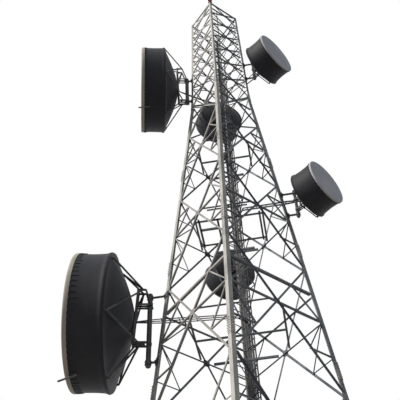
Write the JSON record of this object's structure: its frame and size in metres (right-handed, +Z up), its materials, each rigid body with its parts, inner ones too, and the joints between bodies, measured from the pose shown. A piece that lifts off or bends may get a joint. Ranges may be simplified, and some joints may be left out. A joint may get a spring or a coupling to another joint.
{
  "type": "lattice telecommunications tower",
  "caption": "Square self-supporting steel lattice tower with shrouded microwave dishes on corner mounts, a climbing ladder, a cable ladder and an obstruction light.",
  "frame": {"origin": "centre of the underside of the front left base plate", "axes": "+Z up the tower; +X along the front face from the front left leg to the front right leg; +Y from the front face to the back face"},
  "size_m": [8.7266, 8.8006, 38.316],
  "materials": {
    "leg_zinc": "weathered galvanised",
    "bracing_zinc": "weathered galvanised",
    "ladder_zinc": "galvanised",
    "shroud": "satin charcoal",
    "radome": "taut grey sheet",
    "feeder": "matt black jacket",
    "beacon_paint": "dull red paint",
    "red_lens": "red ribbed glass"
  },
  "bodies": {
    "root": {"base_plates": "leg_zinc", "beacon_base": "beacon_paint", "beacon_lens": "red_lens", "bracing_back_bottom": "bracing_zinc", "bracing_back_middle": "bracing_zinc", "bracing_back_second": "bracing_zinc", "bracing_back_top": "bracing_zinc", "bracing_front_bottom": "bracing_zinc", "bracing_front_middle": "bracing_zinc", "bracing_front_second": "bracing_zinc", "bracing_front_top": "bracing_zinc", "bracing_left_bottom": "bracing_zinc", "bracing_left_middle": "bracing_zinc", "bracing_left_second": "bracing_zinc", "bracing_left_top": "bracing_zinc", "bracing_right_bottom": "bracing_zinc", "bracing_right_middle": "bracing_zinc", "bracing_right_second": "bracing_zinc", "bracing_right_top": "bracing_zinc", "cable_ladder": "ladder_zinc", "climbing_ladder": "ladder_zinc", "dish_left_lower_mount": "leg_zinc", "dish_left_lower_radome": "radome", "dish_left_lower_reflector": "shroud", "dish_left_upper_mount": "leg_zinc", "dish_left_upper_radome": "radome", "dish_left_upper_reflector": "shroud", "dish_rear_lower_mount": "leg_zinc", "dish_rear_lower_radome": "radome", "dish_rear_lower_reflector": "shroud", "dish_rear_upper_mount": "leg_zinc", "dish_rear_upper_radome": "radome", "dish_rear_upper_reflector": "shroud", "dish_right_lower_mount": "leg_zinc", "dish_right_lower_radome": "radome", "dish_right_lower_reflector": "shroud", "dish_right_upper_mount": "leg_zinc", "dish_right_upper_radome": "radome", "dish_right_upper_reflector": "shroud", "feeder_lines": "feeder", "leg_back_left_lower": "leg_zinc", "leg_back_left_upper": "leg_zinc", "leg_back_right_lower": "leg_zinc", "leg_back_right_upper": "leg_zinc", "leg_front_left_lower": "leg_zinc", "leg_front_left_upper": "leg_zinc", "leg_front_right_lower": "leg_zinc", "leg_front_right_upper": "leg_zinc", "leg_splices": "leg_zinc", "plan_bracing": "bracing_zinc"}
  },
  "joints": []
}
